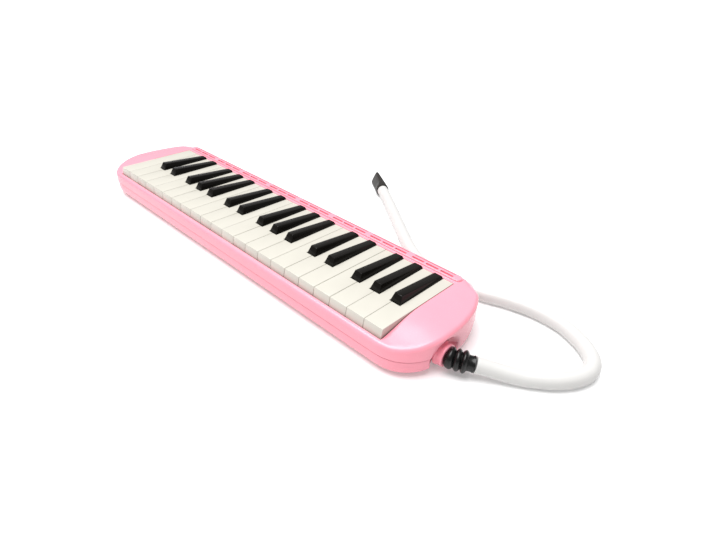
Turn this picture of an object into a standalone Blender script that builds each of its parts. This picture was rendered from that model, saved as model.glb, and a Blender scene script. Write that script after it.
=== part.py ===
"""A 37-key melodica with its blow tube, as separate parts. Metres, +Z up.

The origin is under the middle of the case, on the surface that it stands on. +X runs along the
keyboard towards the blow tube, +Y from the keys' front edge to the sound slots.
"""
import math

import bmesh
import bpy
from mathutils import Matrix, Vector
from mathutils.geometry import delaunay_2d_cdt

MM = 0.001
GAP = 0.3 * MM                  # modelling clearance between neighbours that touch

# Keyboard
KEY_PITCH = 16.2 * MM
WHITE_KEYS = 22
WHITE_GAP = 0.3 * MM            # between two white keys
FIELD_HALF = KEY_PITCH * WHITE_KEYS / 2
KEY_FRONT = -43.5 * MM          # top front edge of the white keys
KEY_REAR = 32.2 * MM
WHITE_TOP = 30.8 * MM
BODY_BOTTOM = 22.4 * MM         # lower edge of the keys' front part
FRONT_SLANT = 1.6 * MM
BLACK_FRONT = -15.9 * MM
BLACK_WIDTH = 8.8 * MM
BLACK_TOP_WIDTH = 6.4 * MM
BLACK_SHOULDER = 31.2 * MM      # where a black key starts to taper
BLACK_TOP_FRONT = 36.4 * MM
BLACK_TOP_REAR = 32.3 * MM
BLACK_NOSE = 2.7 * MM           # how far the slanted nose leans back
BLACK_SIDE_GAP = 0.5 * MM
BLACK_NOSE_GAP = 0.8 * MM
SHARP_SHIFT = {"f": 2.6 * MM, "g": 0.0, "a": -2.6 * MM, "c": 1.7 * MM, "d": -1.7 * MM}

# Key action
PIVOT_Y = 22.0 * MM
PIVOT_Z = 22.0 * MM
ROD_RADIUS = 1.2 * MM
BORE_RADIUS = 1.55 * MM
LEVER_WIDTH = 6.4 * MM
PAD_FRONT = 33.5 * MM
PAD_REAR = 41.0 * MM
POST_THICK = 1.6 * MM
POST_TOP = 24.8 * MM

# Case
CASE_LENGTH = 418.0 * MM
CASE_WIDTH = 99.0 * MM
END_CENTRE_X = 175.0 * MM       # where the rounded ends begin
END_CENTRE_Y = -7.5 * MM        # the widest place of the ends
FRONT_POWER = 2.3               # the corners are superellipses
REAR_POWER = 2.1
FRONT_TOP = 24.0 * MM
DECK_TOP = WHITE_TOP
# Height of the top surface at each y: the front ledge, the ramp and the deck
CROWN = [
    (-60.0 * MM, FRONT_TOP),
    (-46.0 * MM, FRONT_TOP),
    (-40.0 * MM, 25.0 * MM),
    (-19.0 * MM, 29.6 * MM),
    (-11.0 * MM, 30.6 * MM),
    (-5.0 * MM, DECK_TOP),
    (60.0 * MM, DECK_TOP),
]
END_DROP = 2.5 * MM             # how far the deck falls towards the ends
PARTING = 13.8 * MM
PARTING_GAP = 0.35 * MM
WALL = 2.0 * MM
FOOT_HEIGHT = 1.5 * MM
FOOT_X = 160.0 * MM
FOOT_Y = 34.0 * MM
TOP_ROUNDING = 3.0 * MM
REAR_ROUNDING = 9.0 * MM
REAR_ROUNDING_FROM = 34.0 * MM  # over this stretch the upper edge's radius grows
REAR_ROUNDING_TO = 46.0 * MM
BOTTOM_ROUNDING = 7.0 * MM
ROUNDING_STEPS = 4
BOTTOM_INSET = 0.5 * MM         # the lower shell stands this far back at the parting line
WELL_HALF = FIELD_HALF + 0.4 * MM
WELL_FRONT = -45.45 * MM
WELL_REAR = KEY_REAR + 0.5 * MM

# Rear rail with its sound slots and grooves
RAIL_HALF = 180.5 * MM
RAIL_FRONT = 35.1 * MM
RAIL_REAR = 42.9 * MM
RAIL_TOP = 32.2 * MM
SLOT_GROUPS = 8
SLOTS_IN_GROUP = 3
SLOT_LENGTH = 11.5 * MM
SLOT_PITCH = 13.4 * MM
GROUP_PITCH = 44.2 * MM
SLOT_WIDTH = 1.6 * MM
SLOT_Y = 37.6 * MM
GROOVE_LENGTH = 38.3 * MM
GROOVE_WIDTH = 0.8 * MM
GROOVE_Y = 41.0 * MM
GROOVE_DEPTH = 1.0 * MM

# Air chamber
CHAMBER_HALF = 182.0 * MM
CHAMBER_REAR = 42.5 * MM
CHAMBER_BOTTOM = 6.5 * MM
CHAMBER_TOP = 13.0 * MM
NOSE_LEFT = 184.0 * MM
NOSE_RIGHT = 198.0 * MM
NOSE_FRONT = -22.0 * MM
NOSE_REAR = 20.0 * MM
NOSE_TOP = 17.6 * MM
COVER_BOTTOM = 3.9 * MM
COVER_TOP = 5.3 * MM
REED_BOTTOM = 9.7 * MM
REED_TOP = 10.7 * MM
REED_REAR = 38.8 * MM
LONGEST_REED = 31.0 * MM
SHORTEST_REED = 12.0 * MM

# Key stop
RIB_FRONT = -15.0 * MM
RIB_REAR = -9.0 * MM
RIB_TOP = 18.2 * MM
FELT_BOTTOM = 18.5 * MM
FELT_TOP = 20.0 * MM

# Air inlet: the socket's section as radius and x
INLET_Y = -13.8 * MM
INLET_Z = 11.0 * MM
BOSS_RADIUS = 8.9 * MM
PIPE_RADIUS = 3.6 * MM
SOCKET_SECTION = [
    (2.4 * MM, 194.8 * MM),
    (PIPE_RADIUS, 194.8 * MM),
    (PIPE_RADIUS, 202.0 * MM),
    (BOSS_RADIUS, 203.8 * MM),
    (BOSS_RADIUS, 209.2 * MM),
    (8.2 * MM, 210.0 * MM),
    (5.8 * MM, 210.0 * MM),
    (5.8 * MM, 204.8 * MM),
    (2.4 * MM, 203.6 * MM),
]

# Blow tube and mouthpiece
TUBE_RADIUS = 5.6 * MM
RIBBED_PART = 0.76              # share of the adapter's length that has ribs
MOUTH_ROLL = math.radians(-66)  # the mouthpiece lies turned about the tube's axis

# Drain button
DRAIN_Y = 8.0 * MM
DRAIN_Z = 8.5 * MM
DRAIN_RADIUS = 3.6 * MM
DRAIN_FACE = -210.0 * MM
DRAIN_FLANGE = -203.6 * MM
DRAIN_TIP = -178.0 * MM
STEM_RADIUS = 1.0 * MM
SPRING_RADIUS = 2.4 * MM
SPRING_WIRE = 0.35 * MM
SPRING_TURNS = 7

# Screws: x, y and the top of the post that each goes into
SCREWS = [
    (190.0 * MM, -32.0 * MM, 25.0 * MM),
    (189.0 * MM, 27.0 * MM, 29.5 * MM),
    (-190.0 * MM, -32.0 * MM, 25.0 * MM),
    (-189.0 * MM, 27.0 * MM, 29.5 * MM),
]
SCREW_RADIUS = 1.3 * MM
HEAD_BOTTOM = 2.7 * MM
HEAD_TOP = 4.4 * MM
HEAD_RADIUS = 2.8 * MM


# ---------------------------------------------------------------- helpers

def fresh_scene():
    for old in list(bpy.data.objects):
        bpy.data.objects.remove(old)
    for name in ("melodica", "cutters"):
        group = bpy.data.collections.new(name)
        bpy.context.scene.collection.children.link(group)
    bpy.data.collections["cutters"].hide_render = True


def material(name, colour, roughness, metallic=0.0):
    made = bpy.data.materials.get(name)
    if made:
        return made
    made = bpy.data.materials.new(name)
    made.use_nodes = True
    shader = made.node_tree.nodes["Principled BSDF"]
    shader.inputs["Base Color"].default_value = (*colour, 1.0)
    shader.inputs["Roughness"].default_value = roughness
    shader.inputs["Metallic"].default_value = metallic
    return made


def as_cutter(obj):
    """Moves an object to the cutters' collection."""
    for group in list(obj.users_collection):
        group.objects.unlink(obj)
    bpy.data.collections["cutters"].objects.link(obj)
    obj.hide_render = True
    obj.display_type = "WIRE"


def put(name, mesh, cutter=False):
    """A new object that holds this mesh, in the parts' or the cutters' collection."""
    obj = bpy.data.objects.new(name, mesh)
    bpy.data.collections["melodica"].objects.link(obj)
    if cutter:
        as_cutter(obj)
    return obj


def boxes(name, corners, cutter=False):
    """One object with a box for each pair of low and high corners."""
    bm = bmesh.new()
    for low, high in corners:
        low = Vector(low)
        size = Vector(high) - low
        place = Matrix.Translation(low + size / 2) @ Matrix.Diagonal((*size, 1.0))
        bmesh.ops.create_cube(bm, size=1.0, matrix=place)
    mesh = bpy.data.meshes.new(name)
    bm.to_mesh(mesh)
    bm.free()
    return put(name, mesh, cutter)


def cylinder(name, start, end, radius, sides=16, cutter=False):
    start = Vector(start)
    axis = Vector(end) - start
    turn = axis.to_track_quat("Z", "Y").to_matrix().to_4x4()
    bm = bmesh.new()
    bmesh.ops.create_cone(
        bm,
        cap_ends=True,
        segments=sides,
        radius1=radius,
        radius2=radius,
        depth=axis.length,
        matrix=Matrix.Translation(start + axis / 2) @ turn,
    )
    mesh = bpy.data.meshes.new(name)
    bm.to_mesh(mesh)
    bm.free()
    return put(name, mesh, cutter)


def baked(obj):
    """Turns the object's evaluated shape into its mesh, in place, with loose caps welded."""
    shape = obj.evaluated_get(bpy.context.evaluated_depsgraph_get())
    mesh = bpy.data.meshes.new_from_object(shape)
    mesh.transform(obj.matrix_world)
    bm = bmesh.new()
    bm.from_mesh(mesh)
    bmesh.ops.remove_doubles(bm, verts=bm.verts, dist=0.001 * MM)
    bmesh.ops.recalc_face_normals(bm, faces=bm.faces)
    bm.to_mesh(mesh)
    bm.free()
    name = obj.name
    cutter = obj.name in bpy.data.collections["cutters"].objects
    bpy.data.objects.remove(obj)
    return put(name, mesh, cutter)


def slab(name, outline, low, high, along="Z", cutter=False):
    """A flat outline given a thickness. Along Z the outline is (x, y), along X it is (y, z)."""
    curve = bpy.data.curves.new(name, "CURVE")
    curve.dimensions = "2D"
    curve.fill_mode = "BOTH"
    curve.extrude = (high - low) / 2
    spline = curve.splines.new("POLY")
    spline.points.add(len(outline) - 1)
    for point, (across, up) in zip(spline.points, outline):
        point.co = (across, up, 0.0, 1.0)
    spline.use_cyclic_u = True
    obj = put(name, curve, cutter)
    middle = (low + high) / 2
    if along == "Z":
        obj.matrix_world = Matrix.Translation((0.0, 0.0, middle))
    else:
        rows = ((0, 0, 1, middle), (1, 0, 0, 0), (0, 1, 0, 0), (0, 0, 0, 1))
        obj.matrix_world = Matrix(rows)
    bpy.context.view_layer.update()
    return baked(obj)


def turned(name, profile, place, steps=24):
    """A ring turned about local Z from (radius, height) points; place puts it in the object."""
    mesh = bpy.data.meshes.new(name)
    points = [(radius, 0.0, height) for radius, height in profile]
    count = len(points)
    mesh.from_pydata(points, [(i, (i + 1) % count) for i in range(count)], [])
    obj = put(name, mesh)
    screw = obj.modifiers.new("turn", "SCREW")
    screw.steps = steps
    screw.render_steps = steps
    screw.use_merge_vertices = True
    screw.merge_threshold = 0.001 * MM
    obj.matrix_world = place
    bpy.context.view_layer.update()
    return baked(obj)


def along_x(x, y, z):
    """Puts a turned part's axis along +X, from the point given."""
    return Matrix.Translation((x, y, z)) @ Matrix.Rotation(math.pi / 2, 4, "Y")


def boolean(target, other, operation="DIFFERENCE"):
    step = target.modifiers.new(operation.lower(), "BOOLEAN")
    step.operation = operation
    step.object = other
    step.solver = "EXACT"


def joined(target, other):
    """Unites other with target at once, and removes it."""
    boolean(target, other, "UNION")
    bpy.context.view_layer.update()
    target = baked(target)
    bpy.data.objects.remove(other)
    return target


def joined_rings(bm, rings):
    """Adds the side faces between rings of equally many points; returns the rings' vertices."""
    made = [[bm.verts.new(point) for point in ring] for ring in rings]
    count = len(made[0])
    for first, second in zip(made, made[1:]):
        for i in range(count):
            j = (i + 1) % count
            bm.faces.new((first[i], first[j], second[j], second[i]))
    return made


def closed_body(name, bm, cutter=False):
    bmesh.ops.recalc_face_normals(bm, faces=bm.faces)
    mesh = bpy.data.meshes.new(name)
    bm.to_mesh(mesh)
    bm.free()
    return put(name, mesh, cutter)


def loft(name, rings, cutter=False):
    """A closed body through rings of points, with flat ends."""
    bm = bmesh.new()
    made = joined_rings(bm, rings)
    bm.faces.new(made[0][::-1])
    bm.faces.new(made[-1])
    return closed_body(name, bm, cutter)


def bevel(obj, width, segments, angle=50.0):
    step = obj.modifiers.new("rounding", "BEVEL")
    step.width = width
    step.segments = segments
    step.limit_method = "ANGLE"
    step.angle_limit = math.radians(angle)


def finish(obj, finish_material, smooth=False):
    obj.data.materials.clear()
    obj.data.materials.append(finish_material)
    if smooth:
        obj.data.shade_smooth()
        obj.data.set_sharp_from_angle(angle=math.radians(35))
    return obj


# ---------------------------------------------------------------- finishes

PINK = material("pink_gloss_plastic", (0.95, 0.38, 0.52), 0.22)
IVORY = material("ivory_plastic", (0.92, 0.90, 0.82), 0.28)
EBONY = material("black_gloss_plastic", (0.016, 0.015, 0.013), 0.2)
CHAMBER = material("grey_plastic", (0.42, 0.42, 0.43), 0.5)
BRASS = material("reed_brass", (0.78, 0.57, 0.25), 0.35, 1.0)
STEEL = material("steel", (0.6, 0.6, 0.6), 0.3, 1.0)
FELT = material("stop_felt", (0.45, 0.05, 0.07), 0.95)
RUBBER = material("black_rubber", (0.018, 0.018, 0.018), 0.4)
SEAL = material("seal_rubber", (0.1, 0.1, 0.1), 0.6)
HOSE = material("milky_hose", (0.85, 0.85, 0.83), 0.35)
MOUTH = material("dark_grey_plastic", (0.05, 0.045, 0.04), 0.35)


# ---------------------------------------------------------------- keyboard layout

def white_note(index):
    """The note of the white key that is number index from the tube end, such as f3."""
    return "fgabcde"[index % 7] + str(3 + (index + 3) // 7)


def sharp_centre(index):
    """X of the black key next to white key index, on its high side, or None."""
    note = white_note(index)
    if index in (-1, WHITE_KEYS - 1) or note[0] not in SHARP_SHIFT:
        return None
    return FIELD_HALF - (index + 1) * KEY_PITCH + SHARP_SHIFT[note[0]]


def white_edges(index):
    """Left and right edge of a white key's wide front part and of its narrow neck."""
    right = FIELD_HALF - index * KEY_PITCH - WHITE_GAP / 2
    left = right - KEY_PITCH + WHITE_GAP
    notch = BLACK_WIDTH / 2 + BLACK_SIDE_GAP
    low_side, high_side = sharp_centre(index - 1), sharp_centre(index)
    neck_right = right if low_side is None else low_side - notch
    neck_left = left if high_side is None else high_side + notch
    return left, right, neck_left, neck_right


def lever_centres():
    """Each key's name with the X of its lever and whether it is black, from the tube end."""
    keys = []
    for index in range(WHITE_KEYS):
        _, _, neck_left, neck_right = white_edges(index)
        keys.append(("key_" + white_note(index), (neck_left + neck_right) / 2, None))
        centre = sharp_centre(index)
        if centre is not None:
            note = white_note(index)
            keys.append(("key_" + note[0] + "s" + note[1], centre, centre))
    return keys


# ---------------------------------------------------------------- keys

def shared_key_cutters():
    """The relief under all the keys' necks, and the bore for the rod."""
    reach = FIELD_HALF + 10 * MM
    relief = boxes(
        "neck_relief",
        [((-reach, 12 * MM, 10 * MM), (reach, 60 * MM, 25.6 * MM))],
        cutter=True,
    )
    bore = cylinder(
        "rod_bore",
        (-reach, PIVOT_Y, PIVOT_Z),
        (reach, PIVOT_Y, PIVOT_Z),
        BORE_RADIUS,
        sides=12,
        cutter=True,
    )
    return relief, bore


def lever(name, centre):
    """The part of a key under the deck: rod boss, arm and valve pad."""
    side = [
        (4 * MM, 27 * MM),
        (4 * MM, 23.4 * MM),
        (9 * MM, 19 * MM),
        (PAD_FRONT, 19 * MM),
        (PAD_FRONT, CHAMBER_TOP + GAP),
        (PAD_REAR, CHAMBER_TOP + GAP),
        (PAD_REAR, 21.5 * MM),
        (33 * MM, 24.5 * MM),
        (31 * MM, 27 * MM),
    ]
    half = LEVER_WIDTH / 2
    return slab(name + "_lever", side, centre - half, centre + half, along="X")


def with_action(body, centre, relief, bore):
    """Adds the lever to a key's body, bores it and puts its origin on the rod's axis."""
    name = body.name
    boolean(body, relief)
    bpy.context.view_layer.update()
    body = joined(baked(body), lever(name, centre))
    pivot = Vector((centre, PIVOT_Y, PIVOT_Z))
    body.data.transform(Matrix.Translation(-pivot))
    body.location = pivot
    boolean(body, bore)
    return body


def white_key(index, relief, bore):
    left, right, neck_left, neck_right = white_edges(index)
    notch_front = BLACK_FRONT - BLACK_NOSE_GAP
    outline = [(left, KEY_FRONT), (right, KEY_FRONT)]
    if neck_right < right:
        outline += [(right, notch_front), (neck_right, notch_front)]
    outline += [(neck_right, KEY_REAR), (neck_left, KEY_REAR)]
    if neck_left > left:
        outline += [(neck_left, notch_front), (left, notch_front)]
    name = "key_" + white_note(index)
    body = slab(name, outline, BODY_BOTTOM, WHITE_TOP)
    for vertex in body.data.vertices:
        if vertex.co.y < KEY_FRONT + GAP and vertex.co.z < WHITE_TOP - GAP:
            vertex.co.y -= FRONT_SLANT
    skirt = 1.5 * MM
    hollow = boxes(
        name + "_hollow",
        [
            (
                (left + skirt, KEY_FRONT + skirt, BODY_BOTTOM - skirt),
                (right - skirt, notch_front - skirt, WHITE_TOP - WALL),
            )
        ],
        cutter=True,
    )
    boolean(body, hollow)
    body = with_action(body, (neck_left + neck_right) / 2, relief, bore)
    return finish(body, IVORY)


def black_key(name, centre, relief, bore):
    half = BLACK_WIDTH / 2
    top_half = BLACK_TOP_WIDTH / 2
    body = boxes(
        name,
        [((centre - half, BLACK_FRONT, BODY_BOTTOM), (centre + half, KEY_REAR, BLACK_SHOULDER))],
    )
    bm = bmesh.new()
    bm.from_mesh(body.data)
    top = [face for face in bm.faces if face.normal.z > 0.9]
    grown = bmesh.ops.extrude_face_region(bm, geom=top)
    bmesh.ops.delete(bm, geom=top, context="FACES")
    for vertex in grown["geom"]:
        if isinstance(vertex, bmesh.types.BMVert):
            side = 1 if vertex.co.x > centre else -1
            vertex.co.x = centre + side * top_half
            if vertex.co.y < 0:
                vertex.co.y += BLACK_NOSE
                vertex.co.z = BLACK_TOP_FRONT
            else:
                vertex.co.z = BLACK_TOP_REAR
    bm.to_mesh(body.data)
    bm.free()
    body = with_action(body, centre, relief, bore)
    return finish(body, EBONY)


def keyboard():
    relief, bore = shared_key_cutters()
    for index in range(WHITE_KEYS):
        white_key(index, relief, bore)
    for name, centre, black in lever_centres():
        if black is not None:
            black_key(name, centre, relief, bore)
    return bore


# ---------------------------------------------------------------- case

def case_outline(steps=9):
    """The case's plan: each point with its outward direction, counter-clockwise."""
    reach_x = CASE_LENGTH / 2 - END_CENTRE_X
    front = CASE_WIDTH / 2 + END_CENTRE_Y
    rear = CASE_WIDTH / 2 - END_CENTRE_Y
    corners = [
        (1, -1, front, FRONT_POWER),
        (1, 1, rear, REAR_POWER),
        (-1, 1, rear, REAR_POWER),
        (-1, -1, front, FRONT_POWER),
    ]
    outline = []
    for side_x, side_y, reach_y, power in corners:
        turn = []
        for step in range(steps + 1):
            angle = math.pi / 2 * step / steps
            u = math.cos(angle) ** (2 / power)
            v = math.sin(angle) ** (2 / power)
            x = side_x * (END_CENTRE_X + reach_x * u)
            y = END_CENTRE_Y + side_y * reach_y * v
            out_x = side_x * u ** (power - 1) / reach_x
            out_y = side_y * v ** (power - 1) / reach_y
            turn.append((Vector((x, y)), Vector((out_x, out_y)).normalized()))
        outline += turn[::-1] if side_x * side_y < 0 else turn[1:]
    return outline


def edge_radius(y):
    """Radius of the upper edge: small at the front and the ends, large along the rear."""
    part = (y - REAR_ROUNDING_FROM) / (REAR_ROUNDING_TO - REAR_ROUNDING_FROM)
    part = min(1.0, max(0.0, part))
    return TOP_ROUNDING + (REAR_ROUNDING - TOP_ROUNDING) * part * part * (3 - 2 * part)


def roof(x, y):
    """Height of the case's top surface, which falls a little towards the ends."""
    for (y0, z0), (y1, z1) in zip(CROWN, CROWN[1:]):
        if y <= y1:
            break
    height = z0 + (z1 - z0) * (y - y0) / (y1 - y0)
    out = max(0.0, abs(x) - WELL_HALF) / (CASE_LENGTH / 2 - WELL_HALF)
    raised = (height - FRONT_TOP) / (DECK_TOP - FRONT_TOP)
    return height - END_DROP * raised * out ** 2


def roof_grid():
    """Points inside the roof's rim, and pairs of them that are joined across the keyboard."""
    places = []
    pairs = []
    for row in (-40, -33, -26, -19, -11, -5, 12, 30):
        pairs.append((len(places), len(places) + 1))
        columns = (183, 190, 198) if -40 < row < 30 else (183, 190)
        for column in columns:
            places += [Vector((x, row)) * MM for x in (-column, column)]
    return places, pairs


def top_form(name, inset, base, cutter=False):
    """The solid under the case's top surface, drawn in by inset, from base upwards."""
    outline = case_outline()
    rings = [[(*(point - out * inset), base) for point, out in outline]]
    for step in range(ROUNDING_STEPS + 1):
        angle = math.pi / 2 * step / ROUNDING_STEPS
        ring = []
        for point, out in outline:
            radius = edge_radius(point.y) - inset
            place = point - out * (inset + radius * (1 - math.cos(angle)))
            ring.append((*place, roof(*place) - inset - radius * (1 - math.sin(angle))))
        rings.append(ring)
    bm = bmesh.new()
    made = joined_rings(bm, rings)
    bm.faces.new(made[0][::-1])
    rim = made[-1]
    places, pairs = roof_grid()
    vertices = rim + [bm.verts.new((*place, roof(*place) - inset)) for place in places]
    count = len(rim)
    edges = [(i, (i + 1) % count) for i in range(count)]
    edges += [(count + first, count + second) for first, second in pairs]
    flat = [vertex.co.xy for vertex in vertices]
    plan = delaunay_2d_cdt(flat, edges, [], 1, 0.001 * MM)
    for face in plan[2]:
        bm.faces.new([vertices[plan[3][corner][0]] for corner in face])
    return closed_body(name, bm, cutter)


def bottom_form(name, inset, base, top, cutter=False):
    """The lower shell's solid, drawn in by inset, with a rounded lower edge."""
    radius = BOTTOM_ROUNDING + BOTTOM_INSET - inset
    outline = case_outline()
    rings = []
    for step in range(ROUNDING_STEPS + 1):
        angle = math.pi / 2 * step / ROUNDING_STEPS
        back = inset + radius * (1 - math.sin(angle))
        height = base + radius * (1 - math.cos(angle))
        rings.append([(*(point - out * back), height) for point, out in outline])
    rings.append([(*(point - out * inset), top) for point, out in outline])
    return loft(name, rings, cutter)


def group_middles():
    return [(group - (SLOT_GROUPS - 1) / 2) * GROUP_PITCH for group in range(SLOT_GROUPS)]


def rail_cutters():
    """The sound slots in groups of three, and a groove behind each group."""
    slots = []
    grooves = []
    for middle in group_middles():
        for slot in range(SLOTS_IN_GROUP):
            x = middle + (slot - (SLOTS_IN_GROUP - 1) / 2) * SLOT_PITCH
            low = (x - SLOT_LENGTH / 2, SLOT_Y - SLOT_WIDTH / 2, 25 * MM)
            high = (x + SLOT_LENGTH / 2, SLOT_Y + SLOT_WIDTH / 2, 40 * MM)
            slots.append((low, high))
        low = (middle - GROOVE_LENGTH / 2, GROOVE_Y - GROOVE_WIDTH / 2, RAIL_TOP - GROOVE_DEPTH)
        high = (middle + GROOVE_LENGTH / 2, GROOVE_Y + GROOVE_WIDTH / 2, 40 * MM)
        grooves.append((low, high))
    return [
        boxes("sound_slots", slots, cutter=True),
        boxes("sound_grooves", grooves, cutter=True),
    ]


def rail_outline():
    """A long bar with round ends."""
    radius = (RAIL_REAR - RAIL_FRONT) / 2
    middle = (RAIL_REAR + RAIL_FRONT) / 2
    outline = []
    for side in (1, -1):
        for step in range(7):
            angle = math.pi * (step / 6 - 0.5)
            x = side * (RAIL_HALF - radius + radius * math.cos(angle))
            outline.append((x, middle + side * radius * math.sin(angle)))
    return outline


def wall_cutters():
    """The holes through the shells for the inlet socket and the drain button."""
    inlet = cylinder(
        "inlet_hole",
        (202.4 * MM, INLET_Y, INLET_Z),
        (220 * MM, INLET_Y, INLET_Z),
        BOSS_RADIUS + GAP,
        sides=24,
        cutter=True,
    )
    drain = cylinder(
        "drain_hole",
        (-220 * MM, DRAIN_Y, DRAIN_Z),
        (-200 * MM, DRAIN_Y, DRAIN_Z),
        DRAIN_RADIUS + GAP,
        sides=16,
        cutter=True,
    )
    return inlet, drain


def top_case(wall_holes):
    case = top_form("top_case", 0.0, PARTING + PARTING_GAP)
    inside = top_form("top_inside", WALL, PARTING - 5 * MM, cutter=True)
    well = boxes(
        "key_well",
        [((-WELL_HALF, WELL_FRONT, 10 * MM), (WELL_HALF, WELL_REAR, 60 * MM))],
        cutter=True,
    )
    boolean(case, inside)
    boolean(case, well)
    bpy.context.view_layer.update()
    case = baked(case)
    rail = slab("rail", rail_outline(), DECK_TOP - 1 * MM, RAIL_TOP)
    bevel(rail, 0.9 * MM, 2)
    bpy.context.view_layer.update()
    case = joined(case, baked(rail))
    for x, y, top in SCREWS:
        post = cylinder("post", (x, y, PARTING - 0.15 * MM), (x, y, top), 3.5 * MM, sides=12)
        case = joined(case, post)
    pilots = screw_holes("pilot_holes", SCREW_RADIUS + GAP, 5 * MM, 21.5 * MM)
    for cutter in (*rail_cutters(), pilots, *wall_holes):
        boolean(case, cutter)
    return finish(case, PINK, smooth=True)


def screw_holes(name, radius, low, high):
    """One cutter with a hole for each case screw."""
    first, *others = [
        cylinder(name, (x, y, low), (x, y, high), radius, sides=12, cutter=True)
        for x, y, _ in SCREWS
    ]
    for other in others:
        first = joined(first, other)
    return first


def bottom_case(wall_holes):
    case = bottom_form("bottom_case", BOTTOM_INSET, FOOT_HEIGHT, PARTING)
    inside = bottom_form(
        "bottom_inside", BOTTOM_INSET + WALL, FOOT_HEIGHT + WALL, PARTING + 5 * MM, cutter=True
    )
    boolean(case, inside)
    bpy.context.view_layer.update()
    case = baked(case)
    for x in (FOOT_X, -FOOT_X):
        for y in (-FOOT_Y, FOOT_Y):
            foot = cylinder("foot", (x, y, 0.0), (x, y, FOOT_HEIGHT + 1 * MM), 5 * MM)
            case = joined(case, foot)
    floor = FOOT_HEIGHT + WALL / 2
    rib = boxes("felt_rib", [((-FIELD_HALF, RIB_FRONT, floor), (FIELD_HALF, RIB_REAR, RIB_TOP))])
    case = joined(case, rib)
    for x, y, _ in SCREWS:
        boss = cylinder("boss", (x, y, floor), (x, y, PARTING - 0.5 * MM), 4.4 * MM, sides=12)
        case = joined(case, boss)
    heads = screw_holes("head_recesses", HEAD_RADIUS + 0.4 * MM, -5 * MM, HEAD_TOP + 0.4 * MM)
    shafts = screw_holes("shaft_holes", SCREW_RADIUS + 0.4 * MM, 0.0, 20 * MM)
    for cutter in (heads, shafts, *wall_holes):
        boolean(case, cutter)
    return finish(case, PINK, smooth=True)


def case_screws():
    for number, (x, y, _) in enumerate(SCREWS, start=1):
        screw = cylinder(
            f"case_screw_{number}",
            (x, y, HEAD_BOTTOM),
            (x, y, HEAD_TOP),
            HEAD_RADIUS,
        )
        low, high = (x, y, HEAD_TOP - 0.1 * MM), (x, y, 20 * MM)
        screw = joined(screw, cylinder("shaft", low, high, SCREW_RADIUS, sides=10))
        arm, half = 1.6 * MM, 0.35 * MM
        depth = HEAD_BOTTOM + 1 * MM
        along = boxes("slot", [((x - arm, y - half, 0.0), (x + arm, y + half, depth))])
        low, high = (x - half, y - arm, -MM), (x + half, y + arm, depth - 0.1 * MM)
        drive = joined(along, boxes("slot", [(low, high)]))
        drive.name = f"cross_recess_{number}"
        as_cutter(drive)
        boolean(screw, drive)
        finish(screw, STEEL)


# ---------------------------------------------------------------- air chamber

def chamber_plan(inset):
    """The chamber's plan: a long box with a wider nose at the tube end, drawn in by inset."""
    left = -CHAMBER_HALF + inset
    return [
        (left, inset),
        (NOSE_LEFT + inset, inset),
        (NOSE_LEFT + inset, NOSE_FRONT + inset),
        (NOSE_RIGHT - inset, NOSE_FRONT + inset),
        (NOSE_RIGHT - inset, NOSE_REAR - inset),
        (CHAMBER_HALF - inset, NOSE_REAR - inset),
        (CHAMBER_HALF - inset, CHAMBER_REAR - inset),
        (left, CHAMBER_REAR - inset),
    ]


def post_places():
    """X of the posts that carry the rod: both ends, and wherever two white keys are neighbours."""
    ends = FIELD_HALF + 2.4 * MM
    places = [-ends, ends]
    for index in range(WHITE_KEYS - 1):
        if sharp_centre(index) is None:
            places.append(FIELD_HALF - (index + 1) * KEY_PITCH + 0.15 * MM)
    return places


def air_chamber(bore):
    chamber = slab("air_chamber", chamber_plan(0.0), CHAMBER_BOTTOM, CHAMBER_TOP)
    step = 0.3 * MM
    low = (NOSE_LEFT + step, NOSE_FRONT + step, CHAMBER_BOTTOM + 1 * MM)
    high = (NOSE_RIGHT - step, NOSE_REAR - step, NOSE_TOP)
    nose = boxes("nose", [(low, high)])
    chamber = joined(chamber, nose)
    for x in post_places():
        half = POST_THICK / 2
        low = (x - half, PIVOT_Y - 2.7 * MM, CHAMBER_TOP - 1 * MM)
        high = (x + half, PIVOT_Y + 2.7 * MM, POST_TOP)
        chamber = joined(chamber, boxes("post", [(low, high)]))
    cavity = slab(
        "chamber_cavity", chamber_plan(WALL), 0.0, CHAMBER_TOP - WALL, cutter=True
    )
    side = WALL + step
    low = (NOSE_LEFT + side, NOSE_FRONT + side, CHAMBER_BOTTOM + 1 * MM)
    high = (NOSE_RIGHT - side, NOSE_REAR - side, NOSE_TOP - WALL)
    nose_cavity = boxes("nose_cavity", [(low, high)], cutter=True)
    valve_holes = boxes(
        "valve_holes",
        [
            ((x - 2.2 * MM, 34.7 * MM, 8 * MM), (x + 2.2 * MM, 39.6 * MM, 20 * MM))
            for _, x, _ in lever_centres()
        ],
        cutter=True,
    )
    pipe_hole = cylinder(
        "pipe_hole",
        (NOSE_RIGHT - 5 * MM, INLET_Y, INLET_Z),
        (NOSE_RIGHT + 5 * MM, INLET_Y, INLET_Z),
        PIPE_RADIUS + GAP,
        cutter=True,
    )
    drain_hole = cylinder(
        "chamber_drain_hole",
        (-CHAMBER_HALF - 5 * MM, DRAIN_Y, DRAIN_Z),
        (-CHAMBER_HALF + 5 * MM, DRAIN_Y, DRAIN_Z),
        STEM_RADIUS + 0.8 * MM,
        sides=12,
        cutter=True,
    )
    for cutter in (cavity, nose_cavity, valve_holes, pipe_hole, drain_hole, bore):
        boolean(chamber, cutter)
    return finish(chamber, CHAMBER)


def chamber_gasket():
    low = COVER_TOP + GAP
    gasket = slab("chamber_gasket", chamber_plan(0.2 * MM), low, CHAMBER_BOTTOM - GAP)
    window = slab("gasket_window", chamber_plan(WALL), 0.0, 10 * MM, cutter=True)
    boolean(gasket, window)
    return finish(gasket, SEAL)


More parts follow.
